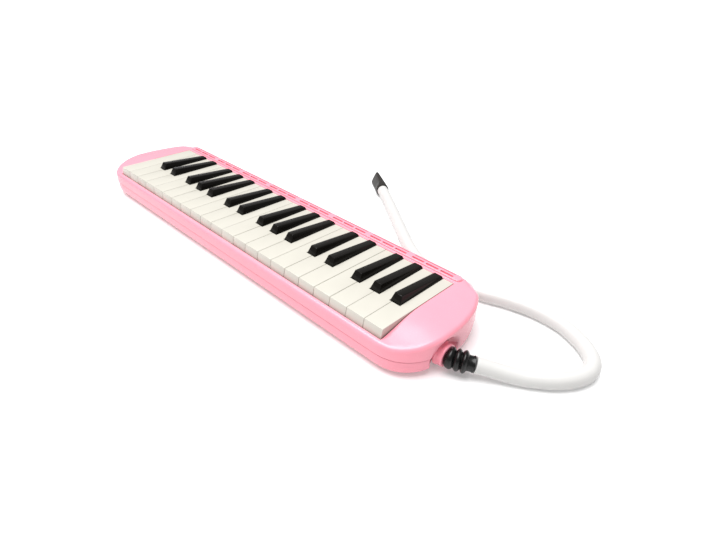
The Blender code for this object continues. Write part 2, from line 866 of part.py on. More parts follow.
def chamber_cover():
    return finish(slab("chamber_cover", chamber_plan(0.0), COVER_BOTTOM, COVER_TOP), CHAMBER)


def reed_plates():
    """Two brass plates under the soundboard, with a slot for each reed, longest at the low end."""
    keys = lever_centres()
    step = (LONGEST_REED - SHORTEST_REED) / (len(keys) - 1)
    middle, end = 0.6 * MM, CHAMBER_HALF - 3.5 * MM
    plates = [
        ("reed_plate_low", middle, end, 6 * MM),
        ("reed_plate_high", -end, -middle, 14 * MM),
    ]
    for name, left, right, front in plates:
        plate = boxes(name, [((left, front, REED_BOTTOM), (right, 40 * MM, REED_TOP))])
        slots = []
        for number, (_, x, _) in enumerate(keys):
            if left + 1.5 * MM < x < right - 1.5 * MM:
                start = REED_REAR - LONGEST_REED + step * number
                low = (x - 1.2 * MM, start, REED_BOTTOM - 2 * MM)
                high = (x + 1.2 * MM, REED_REAR, REED_TOP + 2 * MM)
                slots.append((low, high))
        boolean(plate, boxes(name + "_slots", slots, cutter=True))
        finish(plate, BRASS)


def key_rod():
    reach = FIELD_HALF + 3.0 * MM
    start, end = (-reach, PIVOT_Y, PIVOT_Z), (reach, PIVOT_Y, PIVOT_Z)
    return finish(cylinder("key_pivot_rod", start, end, ROD_RADIUS, sides=12), STEEL, smooth=True)


def spring_comb():
    """A strip on the chamber with one raised finger under each key's lever."""
    lower = CHAMBER_TOP + GAP
    upper = lower + 0.4 * MM
    side = [
        (0.6 * MM, lower),
        (4.5 * MM, lower),
        (13.5 * MM, 17.8 * MM),
        (13.5 * MM, 18.2 * MM),
        (4.3 * MM, upper),
        (0.6 * MM, upper),
    ]
    comb = slab("key_spring_comb", side, -FIELD_HALF, FIELD_HALF, along="X")
    half = 1.4 * MM                 # of a finger's width
    edges = sorted(x for _, x, _ in lever_centres())
    starts = [-FIELD_HALF - 1 * MM] + [x + half for x in edges]
    ends = [x - half for x in edges] + [FIELD_HALF + 1 * MM]
    spaces = [
        ((left, 5.4 * MM, 10 * MM), (right, 20 * MM, 30 * MM)) for left, right in zip(starts, ends)
    ]
    boolean(comb, boxes("comb_spaces", spaces, cutter=True))
    return finish(comb, STEEL)


def key_stop_felt():
    low = (-FIELD_HALF, RIB_FRONT + 0.2 * MM, FELT_BOTTOM)
    high = (FIELD_HALF, RIB_REAR - 0.2 * MM, FELT_TOP)
    return finish(boxes("key_stop_felt", [(low, high)]), FELT)


# ---------------------------------------------------------------- inlet, tube, mouthpiece

def inlet_socket():
    """The boss in the end wall and the pipe into the chamber's nose, turned about one axis."""
    start = SOCKET_SECTION[0][1]
    points = [(radius, x - start) for radius, x in reversed(SOCKET_SECTION)]
    socket = turned("inlet_socket", points, along_x(start, INLET_Y, INLET_Z), steps=24)
    return finish(socket, PINK, smooth=True)


def inlet_seal():
    """A rubber ring on the pipe, against the outside of the chamber's nose."""
    inner, outer = PIPE_RADIUS + 0.3 * MM, PIPE_RADIUS + 1.9 * MM
    points = [(inner, 0.0), (inner, 1.6 * MM), (outer, 1.6 * MM), (outer, 0.0)]
    place = along_x(NOSE_RIGHT + GAP, INLET_Y, INLET_Z)
    return finish(turned("inlet_seal", points, place, steps=20), SEAL, smooth=True)


def smooth_route(route, count):
    """Points at equal steps along a Catmull-Rom curve through the route's points."""
    route = [Vector(point) for point in route]
    padded = [2 * route[0] - route[1], *route, 2 * route[-1] - route[-2]]
    fine = []
    for number in range(len(route) - 1):
        a, b, c, d = padded[number:number + 4]
        for step in range(24):
            t = step / 24
            fine.append(0.5 * (2 * b + (c - a) * t + (2 * a - 5 * b + 4 * c - d) * t ** 2
                               + (3 * b - a - 3 * c + d) * t ** 3))
    fine.append(route[-1])
    lengths = [0.0]
    for before, after in zip(fine, fine[1:]):
        lengths.append(lengths[-1] + (after - before).length)
    points = []
    place = 0
    for step in range(count):
        wanted = lengths[-1] * step / (count - 1)
        while place < len(fine) - 2 and lengths[place + 1] < wanted:
            place += 1
        part = (wanted - lengths[place]) / (lengths[place + 1] - lengths[place])
        points.append(fine[place].lerp(fine[place + 1], min(1.0, part)))
    return points


def tube_curve(name, points, radii, resolution):
    """A round bar with filled caps along the points."""
    curve = bpy.data.curves.new(name, "CURVE")
    curve.dimensions = "3D"
    curve.bevel_depth = 1.0
    curve.bevel_resolution = resolution
    curve.use_fill_caps = True
    spline = curve.splines.new("POLY")
    spline.points.add(len(points) - 1)
    for point, place, radius in zip(spline.points, points, radii):
        point.co = (*place, 1.0)
        point.radius = radius
    return put(name, curve)


# The tube's axis, from the adapter to the mouthpiece: x, y and z in millimetres.
TUBE_ROUTE = [
    (226.5, -6.8, 10.25),
    (235.6, -0.7, 8.2),
    (243.8, 4.4, 6.7),
    (251.4, 9.2, 5.7),
    (259.7, 14.9, 5.7),
    (267.5, 21.5, 5.7),
    (274.4, 30.0, 5.7),
    (278.9, 39.4, 5.7),
    (279.8, 49.4, 5.7),
    (275.8, 59.5, 5.7),
    (267.2, 68.0, 5.7),
    (256.6, 74.4, 5.7),
    (245.1, 78.9, 5.7),
    (232.9, 80.6, 5.7),
    (219.8, 80.2, 5.7),
    (201.7, 76.4, 5.7),
    (184.7, 70.3, 5.7),
    (167.6, 66.0, 5.7),
    (149.5, 64.4, 5.7),
    (130.5, 67.2, 5.7),
    (111.4, 75.2, 5.7),
    (94.3, 86.0, 5.7),
    (79.3, 97.1, 5.7),
    (64.2, 108.7, 5.7),
    (46.9, 121.9, 5.7),
    (30.8, 134.0, 5.9),
    (15.9, 144.8, 6.4),
    (-0.1, 155.6, 7.0),
]
ADAPTER_ROUTE = [
    (210.4, -13.8, 11.0),
    (212.2, -13.7, 11.0),
    (215.2, -12.7, 11.0),
    (219.0, -10.9, 10.9),
    (222.7, -9.1, 10.75),
    (225.8, -7.2, 10.35),
]


def blow_tube():
    route = [Vector(point) * MM for point in TUBE_ROUTE]
    points = smooth_route(route, 56)
    tube = tube_curve("blow_tube", points, [TUBE_RADIUS] * len(points), 3)
    return finish(tube, HOSE, smooth=False)


def adapter_radius(part):
    """Outer radius along the adapter: three round ribs, a slim neck and a lip at the tube."""
    if part < RIBBED_PART:
        wave = math.cos(2 * math.pi * (part / RIBBED_PART * 3 - 0.5))
        return (6.5 + (1.0 + 0.3 * part) * wave) * MM
    neck = (part - RIBBED_PART) / (1 - RIBBED_PART)
    return (5.5 + 0.3 * neck - 0.3 * math.sin(math.pi * neck)) * MM


def tube_adapter():
    route = [Vector(point) * MM for point in ADAPTER_ROUTE]
    count = 30
    points = smooth_route(route, count)
    radii = [adapter_radius(step / (count - 1)) for step in range(count)]
    sleeve = tube_curve("tube_adapter", points, radii, 5)
    bpy.context.view_layer.update()
    sleeve = baked(sleeve)
    spigot = cylinder(
        "spigot",
        (206.0 * MM, INLET_Y, INLET_Z),
        (212.0 * MM, INLET_Y, INLET_Z),
        5.4 * MM,
        sides=20,
    )
    return finish(joined(sleeve, spigot), RUBBER, smooth=True)


def mouthpiece():
    """A round socket at the tube that flattens to a chisel, with the air slot at its tip."""
    # distance along the axis, half width, half height, roundness of the section
    sections = [
        (0.0, 6.7, 6.7, 2.0),
        (2.5, 6.8, 6.4, 2.1),
        (6.5, 6.9, 4.6, 2.6),
        (14.0, 6.9, 3.4, 3.2),
        (33.0, 6.9, 1.9, 3.8),
        (34.0, 6.6, 1.6, 3.8),
    ]
    end = Vector(TUBE_ROUTE[-1])
    direction = end - Vector(TUBE_ROUTE[-2])
    direction.z = 0.0
    heading = math.atan2(direction.y, direction.x)
    rings = []
    for reach, wide, high, power in sections:
        ring = []
        for step in range(20):
            angle = 2 * math.pi * step / 20
            c, s = math.cos(angle), math.sin(angle)
            across = math.copysign(abs(c) ** (2 / power), c) * wide
            up = math.copysign(abs(s) ** (2 / power), s) * high
            ring.append(Vector((reach, across, up)) * MM)
        rings.append(ring)
    piece = loft("mouthpiece", rings)
    slot = boxes(
        "air_slot",
        [((20 * MM, -5 * MM, -0.8 * MM), (44 * MM, 5 * MM, 0.8 * MM))],
        cutter=True,
    )
    roll = Matrix.Rotation(MOUTH_ROLL, 4, "X")
    start = end * MM + direction.normalized() * 0.4 * MM
    place = Matrix.Translation(start) @ Matrix.Rotation(heading, 4, "Z") @ roll
    piece.matrix_world = place
    slot.matrix_world = place
    boolean(piece, slot)
    return finish(piece, MOUTH, smooth=True)


# ---------------------------------------------------------------- drain

def drain_parts():
    """A push button through the end wall, whose stem lifts a seal off a hole in the chamber."""
    button = cylinder(
        "drain_button",
        (DRAIN_FACE, DRAIN_Y, DRAIN_Z),
        (DRAIN_FLANGE, DRAIN_Y, DRAIN_Z),
        DRAIN_RADIUS,
        sides=20,
    )
    bevel(button, 0.5 * MM, 2)
    bpy.context.view_layer.update()
    stem = cylinder(
        "stem",
        (DRAIN_FLANGE - 1 * MM, DRAIN_Y, DRAIN_Z),
        (DRAIN_TIP, DRAIN_Y, DRAIN_Z),
        STEM_RADIUS,
        sides=10,
    )
    finish(joined(baked(button), stem), PINK, smooth=True)
    inner, outer = STEM_RADIUS + 0.3 * MM, STEM_RADIUS + 1.3 * MM
    ring = [(inner, 0.0), (inner, 1.5 * MM), (outer, 1.5 * MM), (outer, 0.0)]
    place = along_x(-CHAMBER_HALF + WALL + GAP, DRAIN_Y, DRAIN_Z)
    finish(turned("drain_seal", ring, place, steps=16), SEAL, smooth=True)
    start = DRAIN_FLANGE + GAP + SPRING_WIRE
    end = -CHAMBER_HALF - GAP - SPRING_WIRE
    per_turn = 8
    count = SPRING_TURNS * per_turn + 1
    coil = []
    for step in range(count):
        angle = 2 * math.pi * step / per_turn
        x = start + (end - start) * step / (count - 1)
        y = DRAIN_Y + SPRING_RADIUS * math.cos(angle)
        coil.append((x, y, DRAIN_Z + SPRING_RADIUS * math.sin(angle)))
    spring = tube_curve("drain_spring", coil, [SPRING_WIRE] * count, 1)
    finish(spring, STEEL)


def build():
    fresh_scene()
    bore = keyboard()
    wall_holes = wall_cutters()
    top_case(wall_holes)
    bottom_case(wall_holes)
    case_screws()
    air_chamber(bore)
    chamber_gasket()
    chamber_cover()
    reed_plates()
    key_rod()
    spring_comb()
    key_stop_felt()
    inlet_socket()
    inlet_seal()
    tube_adapter()
    blow_tube()
    mouthpiece()
    drain_parts()


build()
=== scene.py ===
"""The looks of a pink 37-key melodica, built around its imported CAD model.

The frame is in metres, +Z up. The routes of the tube and its adapter are in metres too;
all other shapes are drawn in millimetres and scaled by MM when they become meshes.
"""

import math

import bmesh
import bpy
import numpy as np
from mathutils import Matrix, Vector
from mathutils.geometry import delaunay_2d_cdt


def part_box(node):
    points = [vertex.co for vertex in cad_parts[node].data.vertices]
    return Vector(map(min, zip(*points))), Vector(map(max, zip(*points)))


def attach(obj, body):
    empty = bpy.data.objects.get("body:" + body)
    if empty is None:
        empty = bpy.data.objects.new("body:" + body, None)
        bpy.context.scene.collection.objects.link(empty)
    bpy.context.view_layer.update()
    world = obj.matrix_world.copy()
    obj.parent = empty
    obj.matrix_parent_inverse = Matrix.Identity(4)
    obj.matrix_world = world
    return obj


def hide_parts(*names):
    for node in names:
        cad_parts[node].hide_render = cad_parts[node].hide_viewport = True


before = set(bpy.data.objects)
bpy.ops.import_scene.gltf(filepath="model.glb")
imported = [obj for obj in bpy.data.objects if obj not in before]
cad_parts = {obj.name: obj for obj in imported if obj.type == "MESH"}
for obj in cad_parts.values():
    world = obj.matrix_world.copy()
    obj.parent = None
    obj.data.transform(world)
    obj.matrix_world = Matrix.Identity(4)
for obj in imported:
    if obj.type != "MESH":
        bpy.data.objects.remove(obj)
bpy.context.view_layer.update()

MM = 0.001
CASE_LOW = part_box("top_case")[0] / MM
CASE_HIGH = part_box("top_case")[1] / MM
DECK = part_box("key_f3")[1].z / MM           # the white keys' top is level with the deck
PARTING_LOW, PARTING_HIGH = 13.8, 14.15
INLET = (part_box("inlet_socket")[0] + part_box("inlet_socket")[1]) / 2 / MM
INLET_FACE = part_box("inlet_socket")[1].x / MM
DRAIN = (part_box("drain_button")[0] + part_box("drain_button")[1]) / 2 / MM

KEYS = sorted(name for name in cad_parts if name.startswith("key_") and name[4] in "abcdefg")
BLACK_KEYS = [name for name in KEYS if name[5] == "s"]
WHITE_KEYS = [name for name in KEYS if name not in BLACK_KEYS]


# ---------------------------------------------------------------- camera

def add_camera():
    """The view from above the tube end, in front of the keys."""
    camera = bpy.data.objects.new("camera", bpy.data.cameras.new("camera"))
    bpy.context.scene.collection.objects.link(camera)
    place = Vector((0.3403, -0.2428, 0.2398))
    right = Vector((0.71717, 0.69592, 0.03695))
    up = Vector((-0.39918, 0.36675, 0.84032))
    back = Vector((0.57125, -0.61740, 0.54082))
    turn = Matrix((right, up, back)).transposed()
    camera.matrix_world = Matrix.Translation(place) @ turn.to_4x4()
    camera.data.sensor_width = 36.0
    camera.data.lens = 26.2
    camera.data.clip_start = 0.01
    bpy.context.scene.camera = camera


# ---------------------------------------------------------------- materials

NOISE_MIDDLE = (0.3, 0.7)       # nearly all of a noise pattern lies between these


def noise(tree, scale, detail, stretch):
    """A noise pattern fixed to the object; scale is in features per metre."""
    place = tree.nodes.new("ShaderNodeTexCoord")
    mapping = tree.nodes.new("ShaderNodeMapping")
    mapping.inputs["Scale"].default_value = stretch
    pattern = tree.nodes.new("ShaderNodeTexNoise")
    pattern.inputs["Scale"].default_value = scale
    pattern.inputs["Detail"].default_value = detail
    tree.links.new(place.outputs["Object"], mapping.inputs["Vector"])
    tree.links.new(mapping.outputs["Vector"], pattern.inputs["Vector"])
    return pattern.outputs["Fac"]


def spread(tree, value, low, high):
    """Maps the middle of a noise pattern to the range low to high."""
    node = tree.nodes.new("ShaderNodeMapRange")
    node.inputs["From Min"].default_value = NOISE_MIDDLE[0]
    node.inputs["From Max"].default_value = NOISE_MIDDLE[1]
    node.inputs["To Min"].default_value = low
    node.inputs["To Max"].default_value = high
    tree.links.new(value, node.inputs["Value"])
    return node.outputs["Result"]


def mixed(tree, factor, first, second):
    """A colour between the first and the second, as the factor says."""
    node = tree.nodes.new("ShaderNodeMix")
    node.data_type = "RGBA"
    node.inputs["A"].default_value = (*first, 1.0)
    node.inputs["B"].default_value = (*second, 1.0)
    tree.links.new(factor, node.inputs["Factor"])
    return node.outputs["Result"]


def bumps(tree, shader, height, strength, distance):
    """A relief on the shader, from a pattern taken as its height."""
    node = tree.nodes.new("ShaderNodeBump")
    node.inputs["Strength"].default_value = strength
    node.inputs["Distance"].default_value = distance
    tree.links.new(height, node.inputs["Height"])
    tree.links.new(node.outputs["Normal"], shader.inputs["Normal"])


def surface(name, colour, drift, roughness, metallic=0.0, scale=90.0, grain=1400.0, relief=0.00002,
            strength=0.25, stretch=(1, 1, 1), **constants):
    """A Principled surface with a slow colour drift, uneven gloss and a fine relief.

    The drift is how much darker the darkest places are, and the roughness a pair of
    least and most. Any other argument names a socket of the shader, as in Emission_Color.
    """
    made = bpy.data.materials.new(name)
    made.use_nodes = True
    tree = made.node_tree
    shader = tree.nodes["Principled BSDF"]
    shader.inputs["Metallic"].default_value = metallic
    for socket, value in constants.items():
        shader.inputs[socket.replace("_", " ")].default_value = value
    darker = tuple(part * (1.0 - drift) for part in colour)
    cloudy = spread(tree, noise(tree, scale, detail=4.0, stretch=stretch), 0.0, 1.0)
    tree.links.new(mixed(tree, cloudy, colour, darker), shader.inputs["Base Color"])
    fine = noise(tree, grain, detail=2.0, stretch=stretch)
    tree.links.new(spread(tree, fine, *roughness), shader.inputs["Roughness"])
    bumps(tree, shader, fine, strength, relief)
    return made


PINK = surface("pink_plastic", (0.92, 0.32, 0.4), 0.03, (0.2, 0.28), IOR=1.5)
IVORY = surface("ivory_plastic", (0.555, 0.535, 0.475), 0.02, (0.28, 0.38), IOR=1.5)
EBONY = surface("black_plastic", (0.007, 0.006, 0.005), 0.2, (0.16, 0.24), IOR=1.27)
GREY = surface("grey_plastic", (0.36, 0.36, 0.37), 0.08, (0.45, 0.6))
BRASS = surface("reed_brass", (0.78, 0.57, 0.25), 0.15, (0.25, 0.45), metallic=1.0,
                stretch=(1, 12, 12))
STEEL = surface("bright_steel", (0.62, 0.62, 0.61), 0.1, (0.22, 0.4), metallic=1.0)
FELT = surface("red_felt", (0.42, 0.04, 0.06), 0.35, (0.85, 1.0), scale=900.0, grain=2500.0,
               relief=0.0003, strength=0.8)
RUBBER = surface("black_rubber", (0.004, 0.004, 0.004), 0.2, (0.25, 0.35), IOR=1.4)
SEAL = surface("seal_rubber", (0.05, 0.05, 0.05), 0.2, (0.5, 0.65))
HOSE = surface("milky_hose", (0.6, 0.592, 0.578), 0.03, (0.35, 0.45), scale=40.0, IOR=1.45)
MOUTH = surface("dark_plastic", (0.03, 0.027, 0.025), 0.2, (0.4, 0.5), IOR=1.22)


# ---------------------------------------------------------------- mesh tools

def linked(name, data):
    """A new object in the scene with this mesh, curve or light."""
    obj = bpy.data.objects.new(name, data)
    bpy.context.scene.collection.objects.link(obj)
    return obj


SHARP = math.radians(35.0)      # edges sharper than this stay crisp in the shading


def dress(obj, node, material, body="case"):
    """Gives a finished piece its material and its place in the frame."""
    obj.data.materials.clear()
    obj.data.materials.append(material)
    if obj.type == "MESH":
        obj.data.shade_smooth()
        obj.data.set_sharp_from_angle(angle=SHARP)
    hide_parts(node)
    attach(obj, body)
    return obj


def applied(obj):
    """The object's evaluated shape as its mesh, with no modifiers left."""
    shape = obj.evaluated_get(bpy.context.evaluated_depsgraph_get())
    mesh = bpy.data.meshes.new_from_object(shape)
    obj.modifiers.clear()
    obj.data = mesh
    return obj


def modifier(obj, kind, **settings):
    """Adds a modifier of a kind with its settings."""
    step = obj.modifiers.new(kind.lower(), kind)
    for name, value in settings.items():
        setattr(step, name, value)


def cut(obj, cutters):
    """Takes the cutters out of the object, and removes them."""
    for other in cutters:
        modifier(obj, "BOOLEAN", operation="DIFFERENCE", object=other, solver="EXACT")
    bpy.context.view_layer.update()
    applied(obj)
    for other in cutters:
        bpy.data.objects.remove(other)
    return obj


def rod(name, start, end, radius, sides=64):
    """A plain cylinder in millimetres, used as a cutter or a stem."""
    start = Vector(start)
    axis = Vector(end) - start
    turn = axis.to_track_quat("Z", "Y").to_matrix().to_4x4()
    place = Matrix.Scale(MM, 4) @ Matrix.Translation(start + axis / 2) @ turn
    bm = bmesh.new()
    bmesh.ops.create_cone(
        bm, cap_ends=True, segments=sides, radius1=radius, radius2=radius, depth=axis.length, matrix=place
    )
    mesh = bpy.data.meshes.new(name)
    bm.to_mesh(mesh)
    bm.free()
    return linked(name, mesh)


def inside(polygon, places):
    """Which of the places lie inside the closed polygon, as an array of booleans."""
    found = np.zeros(len(places), bool)
    x, y = places[:, 0], places[:, 1]
    for (x1, y1), (x2, y2) in zip(polygon, np.roll(polygon, -1, axis=0)):
        if y1 == y2:
            continue
        crosses = (y1 > y) != (y2 > y)
        found ^= crosses & (x < (x2 - x1) * (y - y1) / (y2 - y1) + x1)
    return found


class Surface:
    """Rings of points in millimetres with the faces between them."""

    def __init__(self):
        self.points = []
        self.faces = []

    def ring(self, points):
        """Adds the points, and returns their numbers."""
        first = len(self.points)
        self.points += [tuple(point) for point in points]
        return list(range(first, len(self.points)))

    def bridge(self, lower, upper):
        """Quads between two rings of the same number of points."""
        count = len(lower)
        for i in range(count):
            j = (i + 1) % count
            self.faces.append((lower[i], lower[j], upper[j], upper[i]))

    def tower(self, rings):
        """Bridges each ring with the next, and returns the first and the last."""
        made = [self.ring(points) for points in rings]
        for lower, upper in zip(made, made[1:]):
            self.bridge(lower, upper)
        return made[0], made[-1]

    def fill(self, outer, holes=(), extra=(), height=None, up=True):
        """Triangles between the outer ring and the holes, through extra (x, y) points."""
        loops = [outer, *holes]
        chosen = [index for loop in loops for index in loop]
        chosen += self.ring([(x, y, height(x, y)) for x, y in extra])
        flat = [Vector(self.points[index][:2]) for index in chosen]
        edges = []
        start = 0
        for loop in loops:
            count = len(loop)
            edges += [(start + i, start + (i + 1) % count) for i in range(count)]
            start += count
        whole_hull, tolerance = 0, 1e-6
        corners, _, triangles, origins, _, _ = delaunay_2d_cdt(flat, edges, [], whole_hull, tolerance)
        back = [chosen[origin[0]] for origin in origins]
        places = np.array([[sum(corners[i][k] for i in face) / 3 for k in (0, 1)] for face in triangles])
        kept = inside(np.array([self.points[i][:2] for i in outer]), places)
        for hole in holes:
            kept &= ~inside(np.array([self.points[i][:2] for i in hole]), places)
        for triangle, keep in zip(triangles, kept):
            if keep:
                face = tuple(back[i] for i in triangle)
                self.faces.append(face if up else face[::-1])

    def object(self, name, closed=False):
        """The surface as an object, with its faces turned outwards where it is closed."""
        mesh = bpy.data.meshes.new(name)
        mesh.from_pydata([Vector(point) * MM for point in self.points], [], self.faces)
        bm = bmesh.new()
        bm.from_mesh(mesh)
        loose = [vertex for vertex in bm.verts if not vertex.link_faces]
        bmesh.ops.delete(bm, geom=loose, context="VERTS")
        if closed:
            bmesh.ops.recalc_face_normals(bm, faces=bm.faces)
        bm.to_mesh(mesh)
        bm.free()
        return linked(name, mesh)


def at_height(outline, z):
    """Turns a flat outline into a ring; z is a number or a function of x and y."""
    if callable(z):
        return [(x, y, z(x, y)) for x, y in outline]
    return [(x, y, z) for x, y in outline]


def circle(centre, radius, sides=48):
    """A flat circle round a place, counter-clockwise."""
    angles = [2 * math.pi * step / sides for step in range(sides)]
    return [(centre[0] + radius * math.cos(a), centre[1] + radius * math.sin(a)) for a in angles]


def turned(name, centre, profile, closed, sides=96):
    """A body turned about a line along X; the profile is a list of (x, radius)."""
    form = Surface()
    rings = [[(x, *place) for place in circle(centre.yz, radius, sides)] for x, radius in profile]
    first, last = form.tower(rings)
    if closed:
        form.bridge(last, first)
    else:
        form.faces += [tuple(first[::-1]), tuple(last)]
    return form.object(name, closed=True)


def arc_steps(count):
    """(sine, 1 - cosine) pairs along a quarter turn, from 0 to 90 degrees."""
    angles = [math.pi / 2 * step / count for step in range(count + 1)]
    return [(math.sin(angle), 1.0 - math.cos(angle)) for angle in angles]


# ---------------------------------------------------------------- blow tube

LYING = 0.0057                  # height of the tube's middle where it lies on the table
TUBE_ROUTE = [
    (0.2265, -0.0068, 0.01025),
    (0.2356, -0.0007, 0.0082),
    (0.2438, 0.0044, 0.0067),
    (0.2514, 0.0092, LYING),
    (0.2597, 0.0149, LYING),
    (0.2675, 0.0215, LYING),
    (0.2744, 0.0300, LYING),
    (0.2789, 0.0394, LYING),
    (0.2798, 0.0494, LYING),
    (0.2758, 0.0595, LYING),
    (0.2672, 0.0680, LYING),
    (0.2566, 0.0744, LYING),
    (0.2451, 0.0789, LYING),
    (0.2329, 0.0806, LYING),
    (0.2198, 0.0802, LYING),
    (0.2017, 0.0764, LYING),
    (0.1847, 0.0703, LYING),
    (0.1676, 0.0660, LYING),
    (0.1495, 0.0644, LYING),
    (0.1305, 0.0672, LYING),
    (0.1114, 0.0752, LYING),
    (0.0943, 0.0860, LYING),
    (0.0793, 0.0971, LYING),
    (0.0642, 0.1087, LYING),
    (0.0469, 0.1219, LYING),
    (0.0308, 0.1340, 0.0059),
    (0.0159, 0.1448, 0.0064),
    (-0.0001, 0.1556, 0.0070),
]
TUBE_DIAMETER = 0.0112
TUBE_POINTS = 160
ADAPTER_ROUTE = [
    (0.2104, -0.0138, 0.0110),
    (0.2122, -0.0137, 0.0110),
    (0.2152, -0.0127, 0.0110),
    (0.2190, -0.0109, 0.0109),
    (0.2227, -0.0091, 0.01075),
    (0.2258, -0.0072, 0.01035),
]
ADAPTER_POINTS = 140
ADAPTER_RADIUS = 5.5            # between the ribs
RIBS_END = 0.76                 # share of the length that the ribs take
RIB_COUNT = 3
RIB_HEIGHT, RIB_GROWTH = 2.0, 0.3
RIB_POWER = 0.8                 # below one, so that the ribs are fuller than a sine
NECK_DEPTH, LIP_HEIGHT = 0.35, 0.3
SOCKET_FLAT, TUBE_FLAT = 4.2, 5.0       # radii inside the rounding of the two ends


def smooth_route(route, count):
    """Points at equal steps along a Catmull-Rom curve through the route's points."""
    parts = 24
    route = [Vector(point) for point in route]
    padded = [2 * route[0] - route[1], *route, 2 * route[-1] - route[-2]]
    fine = []
    for number in range(len(route) - 1):
        a, b, c, d = padded[number:number + 4]
        for step in range(parts):
            t = step / parts
            fine.append(0.5 * (2 * b + (c - a) * t + (2 * a - 5 * b + 4 * c - d) * t ** 2
                               + (3 * b - a - 3 * c + d) * t ** 3))
    fine.append(route[-1])
    lengths = [0.0]
    for before, after in zip(fine, fine[1:]):
        lengths.append(lengths[-1] + (after - before).length)
    points = []
    place = 0
    for step in range(count):
        wanted = lengths[-1] * step / (count - 1)
        while place < len(fine) - 2 and lengths[place + 1] < wanted:
            place += 1
        part = (wanted - lengths[place]) / (lengths[place + 1] - lengths[place])
        points.append(fine[place].lerp(fine[place + 1], min(1.0, part)))
    return points


def blow_tube():
    """The milky tube as one round cord along its route."""
    points = smooth_route(TUBE_ROUTE, TUBE_POINTS)
    curve = bpy.data.curves.new("tube", "CURVE")
    curve.dimensions = "3D"
    curve.bevel_depth = TUBE_DIAMETER / 2
    curve.bevel_resolution = 10
    curve.use_fill_caps = True
    spline = curve.splines.new("POLY")
    spline.points.add(len(points) - 1)
    for point, place in zip(spline.points, points):
        point.co = (*place, 1.0)
    tube = linked("tube", curve)
    dress(tube, "blow_tube", HOSE)
    return tube


def sweep(points, radii, sides=72):
    """Rings of a round bar along the points, in millimetres."""
    rings = []
    side = Vector((0.0, 0.0, 1.0))
    for i, (point, radius) in enumerate(zip(points, radii)):
        along = (points[min(i + 1, len(points) - 1)] - points[max(i - 1, 0)]).normalized()
        side = (side - along * side.dot(along)).normalized()
        across = along.cross(side)
        ring = []
        for step in range(sides):
            angle = 2 * math.pi * step / sides
            offset = side * math.cos(angle) + across * math.sin(angle)
            ring.append(point / MM + offset * radius)
        rings.append(ring)
    return rings


def adapter_radius(part):
    """Outer radius along the adapter: three round ribs, a slim neck and a lip at the tube."""
    if part < RIBS_END:
        turn = math.pi * part / RIBS_END * RIB_COUNT
        swell = RIB_HEIGHT + RIB_GROWTH * part
        return ADAPTER_RADIUS + swell * abs(math.sin(turn)) ** RIB_POWER
    neck = (part - RIBS_END) / (1.0 - RIBS_END)
    return ADAPTER_RADIUS + LIP_HEIGHT * neck - NECK_DEPTH * math.sin(math.pi * neck)


def tube_adapter():
    """The ribbed rubber sleeve between the inlet and the tube, closed by a flat at each end."""
    points = smooth_route(ADAPTER_ROUTE, ADAPTER_POINTS)
    radii = [adapter_radius(step / (ADAPTER_POINTS - 1)) for step in range(ADAPTER_POINTS)]
    rings = sweep(points, radii)
    socket_flat = sweep(points[:1], [SOCKET_FLAT])[0]
    tube_flat = sweep(points[-2:], [TUBE_FLAT, TUBE_FLAT])[1]
    form = Surface()
    first, last = form.tower([socket_flat, *rings, tube_flat])
    form.faces.append(tuple(first[::-1]))
    form.faces.append(tuple(last))
    return dress(form.object("adapter"), "tube_adapter", RUBBER)


# ---------------------------------------------------------------- mouthpiece

MOUTH_ROLL = math.radians(-66)
MOUTH_SOCKET = 5.7              # inner radius of the socket over the tube's end
SOCKET_DEPTH = 5.0
MOUTH_GAP = 0.0004              # metres from the tube's end to the mouthpiece's origin
AIR_SLOT = (0.024, 0.010, 0.0016)       # metres: depth, width and height
AIR_SLOT_CENTRE = (0.032, 0.0, 0.0)
# distance along the axis, half width, half height, power of the section: 2 is an ellipse
MOUTH_SECTIONS = [
    (-2.4, 6.3, 6.3, 2.0),
    (-2.0, 6.7, 6.7, 2.0),
    (1.5, 6.8, 6.6, 2.0),
    (4.0, 6.85, 5.6, 2.3),
    (7.5, 6.9, 4.4, 2.8),
    (14.0, 6.9, 3.4, 3.4),
    (32.2, 6.9, 2.0, 4.0),
    (33.4, 6.8, 1.8, 4.0),
    (34.0, 6.4, 1.4, 3.6),
]


def mouth_form(sides=96):
    """A round socket at the tube that flattens to a chisel, along X."""
    rings = []
    for reach, wide, high, power in MOUTH_SECTIONS:
        ring = []
        for step in range(sides):
            angle = 2 * math.pi * step / sides
            c, s = math.cos(angle), math.sin(angle)
            across = math.copysign(abs(c) ** (2 / power), c) * wide
            up = math.copysign(abs(s) ** (2 / power), s) * high
            ring.append((reach, across, up))
        rings.append(ring)
    bore = circle((0.0, 0.0), MOUTH_SOCKET, sides)
    start = MOUTH_SECTIONS[0][0]
    socket = [[(start + depth, *place) for place in bore] for depth in (SOCKET_DEPTH, 0.0)]
    form = Surface()
    first, last = form.tower([*socket, *rings])
    form.faces.append(tuple(first[::-1]))
    form.faces.append(tuple(last))
    return form.object("mouth")


def air_slot():
    """The cutter for the slot in the mouthpiece's tip."""
    slot = linked("air_slot", bpy.data.meshes.new("air_slot"))
    bm = bmesh.new()
    place = Matrix.Translation(AIR_SLOT_CENTRE) @ Matrix.Diagonal((*AIR_SLOT, 1.0))
    bmesh.ops.create_cube(bm, size=1.0, matrix=place)
    bm.to_mesh(slot.data)
    bm.free()
    return slot


